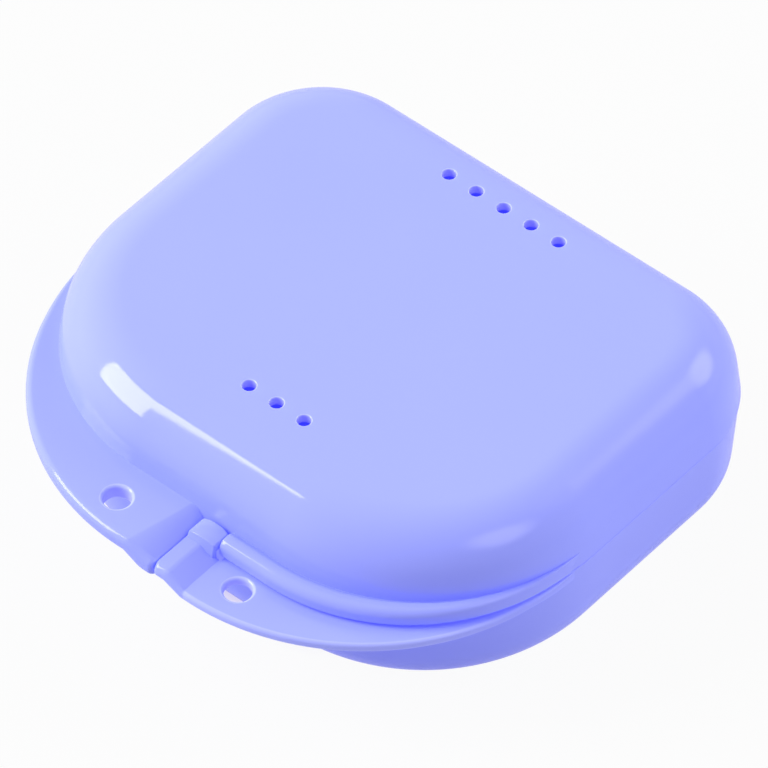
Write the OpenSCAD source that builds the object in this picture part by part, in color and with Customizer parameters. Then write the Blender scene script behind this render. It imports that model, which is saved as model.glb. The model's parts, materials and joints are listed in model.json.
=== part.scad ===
// Orthodontic retainer case: two glossy moulded halves, hinged at the back and clasped at the front.
// Millimetres, +Z up. The case stands on z = 0, its clasp faces -Y and its hinge faces +Y.

/* [Case] */
// Width across the side walls, at the seam
case_w = 88.6; // [84:0.2:100]
// Depth from the front wall to the back wall, at the seam
case_d = 73.4; // [70:0.2:85]
// Radius of the two back corners, seen from above
back_corner_r = 17; // [14:0.5:20]
// Radius of the two front corners, seen from above
front_corner_r = 31; // [26:0.5:32]
// Thickness of the moulded walls
wall = 1.6; // [1.2:0.1:2.4]

/* [Lid] */
// Height of the lid above its lower edge
lid_h = 12.35; // [11:0.05:20]
// Radius of the lid's top edge
lid_edge_r = 9; // [4:0.5:10]
// Draft angle of the lid's walls, in degrees
lid_draft = 7; // [2:0.5:9]

/* [Base] */
// Height of the base, from the table to the seam
base_h = 18.3; // [15:0.1:30]
// Radius of the base's bottom edge
base_edge_r = 9; // [4:0.5:12]
// Draft angle of the base's walls, in degrees
base_draft = 4; // [1:0.5:8]
// How far the base's edge stands back from the lid's edge
seam_step = 0.2; // [0:0.05:0.4]
// Gap between the two halves at the seam
seam_gap = 0.15; // [0.1:0.05:0.3]

/* [Rims] */
// How far the rims stand out from the front wall
rim_reach = 2.8; // [2:0.1:4]
// Radius of the rims' front corners
rim_corner_r = 30; // [26:0.5:32]
// Height of the lid's rim above the seam
rim_h = 2.8; // [2.4:0.1:4]
// Radius of the rims' outer edge
rim_edge_r = 1; // [0.3:0.1:1.4]

/* [Lips] */
// How far the opening lips stand out from the front wall
lip_reach = 11; // [9:0.25:14]
// Radius of the lips' outline, seen from above
lip_corner_r = 37.5; // [34:0.5:39]
// Thickness of the base's lip
lip_t = 1.6; // [1.4:0.1:2]
// Thickness of the lid's lip
lid_lip_t = 2.6; // [2.2:0.05:2.6]
// Radius of the lips' outer edges
lip_edge_r = 0.6; // [0.2:0.1:0.6]
// How far the base's lip lies below the seam
lip_drop = 0.2; // [0:0.1:0.6]
// Diameter of the cord hole in each lip
cord_hole_d = 4; // [2:0.5:5]
// Distance of each cord hole from the middle of the case
cord_hole_x = 11; // [9:0.5:16]
// Distance of each cord hole's centre from the lips' front edge
cord_hole_setback = 5.4; // [4:0.1:6]

/* [Clasp] */
// Distance from the middle of the case to the end of each lip
strip_x = 0.2; // [0.15:0.05:0.5]
// Distance from the middle to where a lip starts to bend back to its own level
bend_x = 2.5; // [2:0.1:3]
// Width of the sloping bend
bend_w = 3; // [2.5:0.1:3.5]
// How far each lip bends towards the level of the other
bend_rise = 1.6; // [1.2:0.1:2]
// Width of the hook
hook_w = 4.6; // [3:0.1:5]
// How far the hook's foot reaches along the lip
hook_foot = 0.9; // [0.6:0.1:1.5]
// How far the hook rises above the lip's end
hook_rise = 0.8; // [0.6:0.1:1.2]
// Thickness of the hook's nose
hook_t = 1; // [0.8:0.1:1.2]
// How far the nose catches over the ledge
hook_catch = 0.6; // [0.2:0.1:0.8]
// How far the ledge stands out from the front wall
ledge_reach = 1.4; // [1.2:0.1:2]
// Radius of the hook's edges
hook_edge_r = 0.5; // [0.2:0.1:0.6]
// Clearance between the clasp's parts and the rims that they pass
clasp_clear = 0.3; // [0.2:0.05:0.5]
// Clearance between the hook's nose and its ledge
catch_clear = 0.2; // [0.1:0.05:0.4]

/* [Vents] */
// Diameter of the vent holes in the lid
vent_d = 2; // [1:0.1:3]
// Distance between neighbouring vents
vent_pitch = 5; // [4:0.25:7]
// Vents in the back row
back_vents = 5; // [1:1:7]
// Vents in the front row
front_vents = 3; // [1:1:5]
// Distance of the back row from the back wall
back_vent_setback = 9.65; // [9:0.05:20]
// Distance of the front row from the front wall
front_vent_setback = 15.3; // [12:0.1:25]

/* [Hinge] */
// Distance of each hinge from the middle of the case
hinge_x = 17; // [10:0.5:19]
// Distance of the hinge axis behind the back wall
hinge_out = 1.75; // [1.7:0.05:2.5]
// Radius of the hinge knuckles
knuckle_r = 1.6; // [1.4:0.05:1.6]
// Width of the lid's knuckles
knuckle_w = 5; // [3:0.5:8]
// Width of the base's ears
ear_w = 3; // [2:0.5:4]
// Radius of the pegs on the lid's knuckles
peg_r = 0.8; // [0.5:0.05:0.9]
// Running clearance round the pegs
peg_clear = 0.06; // [0.03:0.01:0.1]
// Gap between a knuckle and its ears
ear_gap = 0.2; // [0.1:0.05:0.4]
// Height of the webs that carry the knuckles and the ears
web_h = 4.5; // [3:0.25:6]

/* [Hidden] */
$fn = 96;

plastic = [0.69, 0.73, 1.0];

// Overshoot of a cut past the face that it opens
over = 1;
// Depth of a root inside the wall that carries it
root = wall / 2;
// How far inside the side walls the rims and lips start
fade = 0.1;
// Share of a knuckle's radius at which its web runs into it
web_blend = 0.95;
// How far a straight wall runs into the round edge that it meets
join_lap = 0.002;
// How far the sloping bend of a lip runs into its level stretches
bend_lap = 0.2;
// Ample length of a cutting block
ample = 2 * (case_w + case_d);

// Depth of the whole case, which lies centred on the origin
total_d = lip_reach + case_d + hinge_out + knuckle_r;
front_y = lip_reach - total_d / 2;
back_y = front_y + case_d;
rim_front_y = front_y - rim_reach;
lip_front_y = front_y - lip_reach;

seam_z = base_h;
lid_z = seam_z + seam_gap;
hinge_y = back_y + hinge_out;
hinge_z = seam_z + seam_gap / 2;
hinge_w = knuckle_w + 2 * (ear_gap + ear_w);

// The rims and lips start just inside the side walls, so that they fade into them
low_lip = lip_drop + lip_t;
lid_fade = rim_h * tan(lid_draft);
base_fade = low_lip * tan(base_draft) + seam_step;
band_inset = max(lid_fade, base_fade) + fade;
rim_x = case_w / 2 - band_inset - rim_corner_r;
lip_x = case_w / 2 - band_inset - lip_corner_r;
lip_y = lip_front_y + lip_corner_r;

// The lid's lip is drawn like the base's and turned half round about a line along Y
flip_z = seam_z + (rim_h - low_lip) / 2;
lip_z = seam_z - low_lip;
lid_lip_z = seam_z + rim_h - lid_lip_t;
half_bend = atan2(bend_rise, bend_w) / 2;
foot_x = bend_x + bend_w;
sheet_in_y = rim_front_y - clasp_clear;

// The hook, on the base's lip, and the ledge of the lid that it catches
hook_far_x = strip_x + hook_w;
hook_top_z = lip_z + bend_rise + lip_t + hook_rise;
nose_z = hook_top_z - hook_t;
ledge_y = front_y - ledge_reach;
nose_y = ledge_y + hook_catch;
ledge_top_z = nose_z - catch_clear;
notch_x = hook_far_x + clasp_clear;

// How far the inner line of a bent sheet lags behind its outer line
function miter(thick) = thick * tan(half_bend);

// Moves children from the base's side of the clasp to the lid's side
module flipped() {
    translate([0, 0, flip_z])
        rotate([0, 180, 0])
            translate([0, 0, -flip_z])
                children();
}

// Quarter of a disc, in the corner of the first quadrant
module quarter_disc(r) {
    intersection() {
        circle(r);
        square(r);
    }
}

// Half of a shell's section, the wall's foot at the origin: a drafted wall that rounds into a flat top
module wall_section(depth, height, edge_r, draft, skirt) {
    centre_x = -(edge_r + sin(draft) * (height - edge_r)) / cos(draft);
    centre_z = height - edge_r;
    join_r = edge_r - join_lap;
    polygon([
        [-depth, -skirt],
        [skirt * tan(draft), -skirt],
        [centre_x + join_r * cos(draft), centre_z + join_r * sin(draft)],
        [centre_x, height],
        [-depth, height]
    ]);
    translate([centre_x, centre_z])
        quarter_disc(edge_r);
}

// Solid form of one half: four turned corners and the straight walls between them
module shell_form(inset, height, edge_r, draft, skirt = 0) {
    front_x = case_w / 2 - front_corner_r;
    back_x = case_w / 2 - back_corner_r;
    front_centre_y = front_y + front_corner_r;
    back_centre_y = back_y - back_corner_r;
    module section(depth) {
        intersection() {
            translate([depth - inset, 0])
                wall_section(depth + over, height, edge_r, draft, skirt);
            translate([0, -ample / 2])
                square(ample);
        }
    }
    for (side = [0, 1])
        mirror([side, 0, 0]) {
            translate([front_x, front_centre_y, 0])
                rotate([0, 0, -90])
                    rotate_extrude(angle = 90)
                        section(front_corner_r);
            translate([back_x, back_centre_y, 0])
                rotate_extrude(angle = 90)
                    section(back_corner_r);
            translate([0, back_centre_y, 0])
                rotate([90, 0, 0])
                    linear_extrude(back_centre_y - front_centre_y)
                        section(case_w / 2);
        }
    translate([front_x, front_centre_y, 0])
        rotate([90, 0, -90])
            linear_extrude(2 * front_x)
                section(front_corner_r);
    translate([-back_x, back_centre_y, 0])
        rotate([90, 0, 90])
            linear_extrude(2 * back_x)
                section(back_corner_r);
}

// Section of a flat plate from near to reach, its outer edge rounded above and, if asked, below
module plate_section(near, reach, thick, edge_r, round_below) {
    low_r = round_below ? edge_r : 0;
    translate([near, 0])
        square([reach - edge_r - near, thick]);
    translate([reach - edge_r, low_r])
        square([edge_r, thick - edge_r - low_r]);
    translate([reach - edge_r, thick - edge_r])
        quarter_disc(edge_r);
    if (round_below)
        translate([reach - edge_r, edge_r])
            mirror([0, 1])
                quarter_disc(edge_r);
}

// Rim of one half, flat at the seam and rounded on its far edge, right round the front
module rim_form(height) {
    rim_y = rim_front_y + rim_corner_r;
    for (side = [0, 1])
        mirror([side, 0, 0])
            translate([rim_x, rim_y, 0])
                rotate([0, 0, -90])
                    rotate_extrude(angle = 90)
                        plate_section(0, rim_corner_r, height, rim_edge_r, false);
    translate([rim_x, rim_y, 0])
        rotate([90, 0, -90])
            linear_extrude(2 * rim_x)
                plate_section(0, rim_corner_r, height, rim_edge_r, false);
}

// Rim with a gap from x0 to x1, through which the lips and the hook pass
module notched_rim(height, x0, x1) {
    difference() {
        rim_form(height);
        translate([x0, -ample / 2, -over])
            cube([x1 - x0, ample / 2, height + 2 * over]);
    }
}

// Ledge across the lid's notch, under the base's hook
module ledge() {
    translate([-bend_x, ledge_y, lid_z])
        cube([bend_x + notch_x + clasp_clear, ledge_reach + root, ledge_top_z - lid_z]);
}

// A lip's sheet along X from x0 to x1, its underside at z = 0
module sheet(x0, x1, near, thick) {
    translate([x1, lip_y, 0])
        rotate([90, 0, -90])
            linear_extrude(x1 - x0)
                plate_section(near, lip_corner_r, thick, lip_edge_r, true);
}

// Extrudes an outline, drawn in X and Z, along Y from y0 to y1
module along_y(y0, y1) {
    translate([0, y1, 0])
        rotate([90, 0, 0])
            linear_extrude(y1 - y0)
                children();
}

// A lip's sheet as it climbs towards the other lip; the part that climbs runs in as far as in_y
module bent_sheet(thick, in_y) {
    top = [0, thick];
    foot = [foot_x - miter(thick), 0];
    crest = [bend_x - miter(thick), bend_rise];
    lap = [bend_lap, 0];
    sheet(foot_x + bend_lap / 2, lip_x, 0, thick);
    along_y(lip_front_y, in_y)
        polygon([
            [foot_x, 0] + lap,
            [foot_x, 0] + lap + top,
            [foot_x, thick],
            [bend_x, bend_rise + thick],
            crest - lap + top,
            crest - lap,
            crest,
            foot
        ]);
    intersection() {
        translate([0, 0, bend_rise])
            sheet(strip_x, crest[0], lip_y - in_y, thick);
        along_y(lip_front_y - over, in_y + over)
            translate([lip_x, bend_rise])
                mirror([1, 0])
                    plate_section(0, lip_x - strip_x, thick, lip_edge_r, true);
    }
}

// Rounded block that stands on the end of the base's lip and reaches in over the ledge
module hook() {
    foot_y = sheet_in_y - hook_foot;
    middle = [-miter(lip_t), lip_t] / 2;
    intersection() {
        union() {
            along_y(foot_y, sheet_in_y)
                intersection() {
                    translate([strip_x, lip_z])
                        square([hook_w, hook_top_z - lip_z]);
                    translate([0, lip_z])
                        polygon([
                            [0, bend_rise + lip_t / 2],
                            [bend_x, bend_rise] + middle,
                            [foot_x, 0] + middle,
                            [lip_x, lip_t / 2],
                            [lip_x, ample],
                            [0, ample]
                        ]);
                }
            translate([strip_x, foot_y, nose_z])
                cube([hook_w, nose_y - foot_y, hook_t]);
        }
        along_y(foot_y, nose_y)
            rounded_top(strip_x, hook_far_x, hook_top_z);
        rotate([90, 0, 90])
            linear_extrude(lip_x)
                rounded_top(foot_y, nose_y, hook_top_z);
    }
}

// Upright section from x0 to x1 whose two top corners are rounded
module rounded_top(x0, x1, top) {
    translate([x0, -over])
        square([x1 - x0, top + over - hook_edge_r]);
    translate([x0 + hook_edge_r, top - hook_edge_r])
        square([x1 - x0 - 2 * hook_edge_r, hook_edge_r]);
    for (x = [x0 + hook_edge_r, x1 - hook_edge_r])
        translate([x, top - hook_edge_r])
            circle(hook_edge_r);
}

// An opening lip, as it lies on the base: outline, bent end and cord hole
module lip(thick, in_y) {
    difference() {
        translate([0, 0, lip_z]) {
            translate([lip_x, lip_y, 0])
                rotate([0, 0, -90])
                    rotate_extrude(angle = 90)
                        plate_section(0, lip_corner_r, thick, lip_edge_r, true);
            bent_sheet(thick, in_y);
        }
        translate([cord_hole_x, lip_front_y + cord_hole_setback, lip_z - over])
            cylinder(d = cord_hole_d, h = thick + 2 * over);
    }
}

// The lid's lip: turned over, joined to the lid's wall, and clear of the base's wall below the seam
module lid_lip() {
    difference() {
        flipped()
            lip(lid_lip_t, front_y + root);
        translate([-foot_x, front_y - clasp_clear, 0])
            cube([foot_x, clasp_clear + root + over, lid_lip_z]);
    }
}

// Row of vents along X, cut through the lid's top
module vent_row(count, y) {
    for (i = [0 : count - 1])
        translate([(i - (count - 1) / 2) * vent_pitch, y, lid_z + lid_h - wall - over])
            cylinder(d = vent_d, h = wall + 2 * over);
}

// Section of a knuckle and the web above it, with the hinge axis at the origin
module knuckle_section(stand_back) {
    wall_y = -hinge_out - stand_back - root;
    low = seam_gap / 2;
    reach = norm([wall_y, web_h]);
    touch = atan2(web_h, wall_y) - acos(knuckle_r / reach);
    circle(knuckle_r);
    polygon([
        [wall_y, web_h],
        [wall_y, low],
        [0, low],
        web_blend * knuckle_r * [cos(touch), sin(touch)]
    ]);
}

// A knuckle of the given width, from x = 0 towards +X
module knuckle(width, stand_back) {
    rotate([90, 0, 90])
        linear_extrude(width)
            knuckle_section(stand_back);
}

// Places children at the two hinges
module at_hinges() {
    for (side = [-1, 1])
        translate([side * hinge_x, hinge_y, hinge_z])
            children();
}

module lid() {
    color(plastic)
        difference() {
            union() {
                translate([0, 0, lid_z])
                    shell_form(0, lid_h, lid_edge_r, lid_draft);
                translate([0, 0, lid_z])
                    notched_rim(rim_h - seam_gap, -case_w, notch_x);
                ledge();
                lid_lip();
                at_hinges() {
                    translate([-knuckle_w / 2, 0, 0])
                        knuckle(knuckle_w, 0);
                    rotate([0, 90, 0])
                        cylinder(r = peg_r, h = hinge_w, center = true);
                }
            }
            translate([0, 0, lid_z])
                shell_form(wall, lid_h - wall, lid_edge_r - wall, lid_draft, over);
            vent_row(back_vents, back_y - back_vent_setback);
            vent_row(front_vents, front_y + front_vent_setback);
        }
}

module base() {
    color(plastic)
        difference() {
            union() {
                translate([0, 0, seam_z])
                    mirror([0, 0, 1]) {
                        shell_form(seam_step, base_h, base_edge_r, base_draft);
                        notched_rim(low_lip, -foot_x - clasp_clear, foot_x + clasp_clear);
                    }
                lip(lip_t, sheet_in_y);
                hook();
                at_hinges()
                    for (side = [0, 1])
                        mirror([side, 0, 0])
                            translate([knuckle_w / 2 + ear_gap, 0, 0])
                                mirror([0, 0, 1])
                                    knuckle(ear_w, seam_step);
            }
            translate([0, 0, seam_z])
                mirror([0, 0, 1])
                    shell_form(seam_step + wall, base_h - wall, base_edge_r - wall, base_draft, over);
            at_hinges()
                rotate([0, 90, 0])
                    cylinder(r = peg_r + peg_clear, h = hinge_w + 2 * over, center = true);
        }
}

lid();
base();
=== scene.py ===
"""Looks of a periwinkle retainer case: two glossy moulded halves, hinged behind and clasped in front."""
import json
from collections import namedtuple
from math import atan2, cos, pi, radians, sin, sqrt, tan

import bmesh
import bpy
from mathutils import Matrix, Vector

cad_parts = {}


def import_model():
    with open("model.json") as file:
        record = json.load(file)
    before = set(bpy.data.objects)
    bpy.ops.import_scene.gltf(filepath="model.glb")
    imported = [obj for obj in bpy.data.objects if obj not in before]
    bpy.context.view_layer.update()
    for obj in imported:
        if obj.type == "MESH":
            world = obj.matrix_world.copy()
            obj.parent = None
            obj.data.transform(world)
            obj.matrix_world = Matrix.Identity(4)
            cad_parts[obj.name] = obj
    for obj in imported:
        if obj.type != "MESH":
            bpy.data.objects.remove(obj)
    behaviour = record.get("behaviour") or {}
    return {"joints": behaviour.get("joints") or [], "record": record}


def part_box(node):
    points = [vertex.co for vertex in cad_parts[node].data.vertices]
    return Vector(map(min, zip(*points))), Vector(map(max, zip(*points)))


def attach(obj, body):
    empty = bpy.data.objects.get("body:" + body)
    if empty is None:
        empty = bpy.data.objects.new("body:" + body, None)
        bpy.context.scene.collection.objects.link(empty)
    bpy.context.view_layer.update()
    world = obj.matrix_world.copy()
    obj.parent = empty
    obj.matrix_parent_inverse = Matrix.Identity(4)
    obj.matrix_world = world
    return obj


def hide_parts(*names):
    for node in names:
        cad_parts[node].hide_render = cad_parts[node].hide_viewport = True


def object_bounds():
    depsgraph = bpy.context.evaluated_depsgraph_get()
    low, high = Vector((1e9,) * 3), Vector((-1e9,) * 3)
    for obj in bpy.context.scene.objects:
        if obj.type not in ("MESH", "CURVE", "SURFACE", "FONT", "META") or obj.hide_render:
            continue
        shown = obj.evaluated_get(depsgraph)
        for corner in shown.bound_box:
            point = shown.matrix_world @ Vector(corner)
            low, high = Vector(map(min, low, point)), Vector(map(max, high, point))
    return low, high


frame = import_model()
cad_low, cad_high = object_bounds()

# Lengths are millimetres until a piece is finished
MM = 0.001

# Case: its plan, wall, rounded outer edge and drafts
CASE_W = 88.6
CASE_D = 73.4
BACK_R = 17.0
FRONT_R = 31.0
WALL = 1.6
SHELL_EDGE_R = 9.0
BASE_INSET = 0.2
BASE_DRAFT = radians(4)
LID_DRAFT = radians(7)

# Seam, rims and lips
SEAM_GAP = 0.15
RIM_REACH = 2.8
RIM_R = 30.0
RIM_H = 2.8
RIM_EDGE = 1.4
RIM_DIP = 0.8
RIM_SHOULDER = 1.2
LIP_R = 37.5
BASE_LIP_T = 1.6
LID_LIP_T = 2.6
LIP_DROP = 0.2
LIP_EDGE = 0.6
LID_LIP_EDGE = 1.0
BAND_INSET = 0.444

# Clasp
STRIP_X = 0.1
BEND_X = 2.5
BEND_W = 3.0
BEND_RISE = 1.6
HOOK_W = 4.7
HOOK_SPREAD = 0.15
HOOK_FOOT = 0.9
HOOK_RISE = 0.8
HOOK_T = 1.0
HOOK_CATCH = 0.6
HOOK_EDGE = 0.35
HOOK_SLANT = (0.15, 0.6)
HOOK_FRONT_R = 0.15
HOOK_CROWN = (0.0, 0.35)
HOOK_BOW = (0.45, 0.8)
HOOK_FOOT_EDGE = 0.3
HOOK_NOSE_EDGE = 0.15
HOOK_BACK_EDGE = 0.1
HOOK_ROWS_X = (1.3, 2.9, 3.7)
BEND_FOOT_R = 0.3
BEND_CREST_R = 2.0
BEND_UNDER_FOOT_R = 1.0
BEND_UNDER_CREST_R = 0.4
STRIP_EDGE = 1.2
STRIP_END_EDGE = 0.15
STRIP_CORNER = 0.8
STRIP_UNDER_EDGE = 0.3
LID_BEND_TAPER = 0.5
LEDGE_REACH = 1.4
LEDGE_END_X = 4.6
LEDGE_EDGE = 0.25
CLASP_CLEAR = 0.3
CATCH_CLEAR = 0.2

# Hinge
HINGE_X = 17.0
HINGE_SETBACK = 1.75
KNUCKLE_R = 1.6
KNUCKLE_W = 5.0
KNUCKLE_EDGE = 0.15
EAR_W = 3.0
EAR_GAP = 0.2
PEG_R = 0.8
PEG_EDGE = 0.2
PEG_CLEAR = 0.06
WEB_H = 4.5

# Vents and cord holes
VENT_R = 1.0
VENT_APRON = 1.0
VENT_PITCH = 5.0
BACK_VENTS = 5
FRONT_VENTS = 3
BACK_VENT_SETBACK = 9.65
FRONT_VENT_SETBACK = 15.3
CORD_HOLE_R = 2.0
CORD_HOLE_APRON = 0.4

# Moulded softness: radii of fillets and of edges that were left plain in the solids
FILLET = 0.04
SEAM_EDGE = 0.35
BASE_SEAM_EDGE = 0.05
VENT_EDGE = 0.2
HOLE_EDGE = 0.55
RIM_END_EDGE = 0.2
STEP_EDGE = 0.02
SUNK = 0.06
ROOT = 0.7

# Most of a band's width that each of its roundings takes where the band fades into the wall
DIP_SHARE = 0.2
SHOULDER_SHARE = 0.3
RIM_EDGE_SHARE = 0.45
LIP_EDGE_SHARE = 0.4
LIP_BORDER_SHARE = 0.05
STEP_SHARE = 0.5
FADED_WIDTH = 0.03
RIM_LAST_ANGLE = radians(-6)
LIP_LAST_ANGLE = radians(-4)

# Sections of lips and rims: flat border by a rounded edge, how far the seam's step lies under the rim,
# spare height between two edges, split in a free end's inner face, and a fillet's drop over its radius
BORDER = 0.2
STEP_BACK = 0.5
EDGE_SPARE = 0.05
SHEET_SPLIT = 0.1
FILLET_DROP = 1.6

# Rows of the shells' meshes where the round edge has become flat
FLAT_EDGE = 12.0
FLAT_BORDER = 0.6

# Fineness of the meshes
CORNER_STEPS = 48
EDGE_STEPS = 24
ROUND_STEPS = 6
HOLE_STEPS = 40
STRAIGHT_STEPS = 10
BEVEL_STEPS = 4
KNUCKLE_STEPS = 3
SHARP_ANGLE = radians(38)
BEVEL_ANGLE = radians(60)
SHADING_WEIGHT = 60
END_SHARE = 0.98
ASKEW = 0.3
WIDE_FACE = 1.0

# Smallest measures: corners too tight to round, points that are one or level, overlap within a moulding
NO_ROOM = 1e-6
NO_TURN = 1e-4
WELD = 0.0005
LEVEL = 0.001
SLIVER = 0.01

# Plastic: tones, a painted glow that stands in for the light its clear body carries into the shade, and
# painted highlights on its edges
PLASTIC_DEEP = (0.375, 0.432, 0.955, 1)
PLASTIC_PALE = (0.395, 0.452, 0.970, 1)
# Painted glow: emission everywhere on the plastic, stronger in the walls of holes
PLASTIC_PAINTED_GLOW = (0.023, 0.024, 0.31, 1)
HOLE_PAINTED_GLOW = (0.07, 0.055, 0.45, 1)
# Painted highlight: paler colour on the rounded rims of holes and on the thin lip's outer edge, which fades
# out between two places along X (mm)
EDGE_PAINTED_HIGHLIGHT = (0.58, 0.64, 1.0, 1)
LIP_PAINTED_HIGHLIGHT = 0.6
LIP_HIGHLIGHT_FADE_X = (37.0, 43.0)
PLASTIC_IOR = 1.49

# Marks of moulding: clouds, each of a size in millimetres and a fineness, and how they change the surface
FLOW_MARKS = (30.0, 2.0)
GLOSS_CLOUDS = (8.0, 3.0)
GLOSS_RANGE = (0.055, 0.085)
SKIN_RIPPLE = (2.5, 2.0)
SKIN_HEIGHT = 0.01
SKIN_STRENGTH = 0.1

# Studio: floor, room and lamps; a level of 1 is as bright as white
FLOOR_SIZE = 8.0
FLOOR_TONE = 0.545
FLOOR_ROUGHNESS = 0.9
FLOOR_GLOW = 0.95
FLOOR_IN_GLOSS = 0.4
WHITE = (1, 1, 1, 1)
# Painted shade on the floor: a tint along the front of the base, its middle and its half sizes in
# millimetres
PAINTED_SHADE_PLACE = (-4.0, -26.6, 0.0)
PAINTED_SHADE_SIZE = (24.0, 6.0, 100.0)
PAINTED_SHADE_TINT = (0.62, 0.57, 0.91, 1)
ROOM_SIDES = [((198.0, 23.0), 8.0, 2.22), ((42.0, 2.0), 10.0, 2.15)]
ROOM_IN_GLOSS = 0.9
KEY_PLACE = (-0.717, -0.489, 0.724)
KEY_FACE = (0.548, 0.761, -0.336)
KEY_SIZE = (0.50, 0.69)
KEY_LEVEL = 6.3
KEY_ROLL = 17.0
LAMP_POWER = 4.0
LAMP_STEP = 0.01
ROUND_LAMPS = [
    ("right_lamp", (-8.0, 40.0), (0.57, 0.50, 0.43, 0.36, 0.29), 0.28),
    ("back_lamp", (58.0, 32.0), (0.64, 0.56, 0.48, 0.40), 0.40),
    ("back_window", (47.0, 40.0), (0.80, 0.72, 0.64, 0.56), 0.06),
]

# Camera: angles in degrees, its distance and the point that it aims at, then moved right and up
CAMERA_AZIMUTH = 40.560
CAMERA_ELEVATION = 47.667
CAMERA_DISTANCE = 1385.37
CAMERA_AIM = (0.0, 4.87, 18.555)
CAMERA_SHIFT = (0.163, -1.804)
CAMERA_LENS = 465.7
CAMERA_SENSOR = 36.0
CAMERA_SIGHT = 20.0

# Places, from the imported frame
joint = frame["joints"][0]
HINGE_Y, HINGE_Z = (value / MM for value in joint["pos_m"][1:])
SEAM_Z = HINGE_Z - SEAM_GAP / 2
LID_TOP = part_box("lid")[1].z / MM
LIP_FRONT_Y = cad_low.y / MM
mounts = {mount["name"]: mount for mount in frame["record"]["mounts"]}

# Plan of the case
HALF_W = CASE_W / 2
BACK_Y = HINGE_Y - HINGE_SETBACK
FRONT_Y = BACK_Y - CASE_D
LIP_REACH = FRONT_Y - LIP_FRONT_Y
FRONT_X = HALF_W - FRONT_R
FRONT_CENTRE_Y = FRONT_Y + FRONT_R
BACK_X = HALF_W - BACK_R
BACK_CENTRE_Y = BACK_Y - BACK_R
RIM_CENTRE = Vector((HALF_W - BAND_INSET - RIM_R, FRONT_Y - RIM_REACH + RIM_R))
LIP_CENTRE = Vector((HALF_W - BAND_INSET - LIP_R, LIP_FRONT_Y + LIP_R))

# Heights and lengths of the clasp
LOW_Z = SEAM_Z - LIP_DROP - BASE_LIP_T
FLIP_Z = SEAM_Z + (RIM_H - LIP_DROP - BASE_LIP_T) / 2
HALF_BEND = atan2(BEND_RISE, BEND_W) / 2
FOOT_X = BEND_X + BEND_W
NOTCH_X = STRIP_X + HOOK_W + CLASP_CLEAR
SHEET_IN = RIM_REACH + CLASP_CLEAR
HOOK_TOP_Z = LOW_Z + BASE_LIP_T + BEND_RISE + HOOK_RISE
NOSE_Z = HOOK_TOP_Z - HOOK_T

# One half of the case, in the base's own position; the lid is turned half round about a line along Y
Half = namedtuple("Half", "body foot_z inset height edge_r draft lip_t rim_x turned")
LID_FOOT_Z = 2 * FLIP_Z - SEAM_Z - SEAM_GAP
LID_H = LID_TOP - SEAM_Z - SEAM_GAP
BASE = Half(
    body="base",
    foot_z=SEAM_Z,
    inset=BASE_INSET,
    height=SEAM_Z,
    edge_r=SHELL_EDGE_R,
    draft=BASE_DRAFT,
    lip_t=BASE_LIP_T,
    rim_x=FOOT_X + CLASP_CLEAR,
    turned=False,
)
LID = Half(
    body="lid",
    foot_z=LID_FOOT_Z,
    inset=0.0,
    height=LID_H,
    edge_r=SHELL_EDGE_R,
    draft=LID_DRAFT,
    lip_t=LID_LIP_T,
    rim_x=NOTCH_X,
    turned=True,
)
Station = namedtuple("Station", "point normal")


def mix(a, b, share):
    """Value that lies the given share of the way from a to b."""
    return a + (b - a) * share


def arc(centre, radius, start, end, steps):
    """Points along a circular arc between two angles."""
    angles = [mix(start, end, i / steps) for i in range(steps + 1)]
    return [centre + radius * Vector((cos(angle), sin(angle))) for angle in angles]


def round_corner(before, corner, after, radius, steps):
    """Arc that rounds a corner, kept short of the corner's neighbours."""
    back = before - corner
    on = after - corner
    room = END_SHARE * min(back.length, on.length)
    back_way = back.normalized()
    on_way = on.normalized()
    half = back_way.angle(on_way, pi) / 2
    if room < NO_ROOM or half > pi / 2 - NO_TURN:
        return [corner.copy() for _ in range(steps + 1)]
    radius = min(radius, room * tan(half))
    tangent = radius / tan(half)
    centre = corner + (back_way + on_way).normalized() * (radius / sin(half))
    start = corner + back_way * tangent - centre
    end = corner + on_way * tangent - centre
    turn = pi - 2 * half
    weights = [(sin(turn * (1 - i / steps)), sin(turn * i / steps)) for i in range(steps + 1)]
    return [centre + (start * a + end * b) / sin(turn) for a, b in weights]


def rounded(corners, steps=ROUND_STEPS, closed=True):
    """Outline through corners (x, y, radius); a radius of None keeps the corner as one sharp point."""
    spots = [Vector(corner[:2]) for corner in corners]
    count = len(spots)
    points = []
    for i, corner in enumerate(corners):
        radius = corner[2]
        at_end = not closed and i in (0, count - 1)
        if radius is None or at_end:
            points.append(spots[i])
        else:
            points += round_corner(spots[i - 1], spots[i], spots[(i + 1) % count], radius, steps)
    return points


def outline(back_columns):
    """Stations round the case, corner by corner, against the clock, with extra ones along the back."""
    corners = [
        (FRONT_X, FRONT_CENTRE_Y, FRONT_R, -pi / 2),
        (BACK_X, BACK_CENTRE_Y, BACK_R, 0.0),
        (-BACK_X, BACK_CENTRE_Y, BACK_R, pi / 2),
        (-FRONT_X, FRONT_CENTRE_Y, FRONT_R, pi),
    ]
    stations = []
    for x, y, radius, start in corners:
        normals = arc(Vector((0, 0)), 1.0, start, start + pi / 2, CORNER_STEPS)
        stations += [Station(Vector((x, y)) + radius * normal, normal) for normal in normals]
        if x > 0 and y == BACK_CENTRE_Y:
            stations += [Station(Vector((column, BACK_Y)), Vector((0, 1))) for column in back_columns]
    return stations


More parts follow.
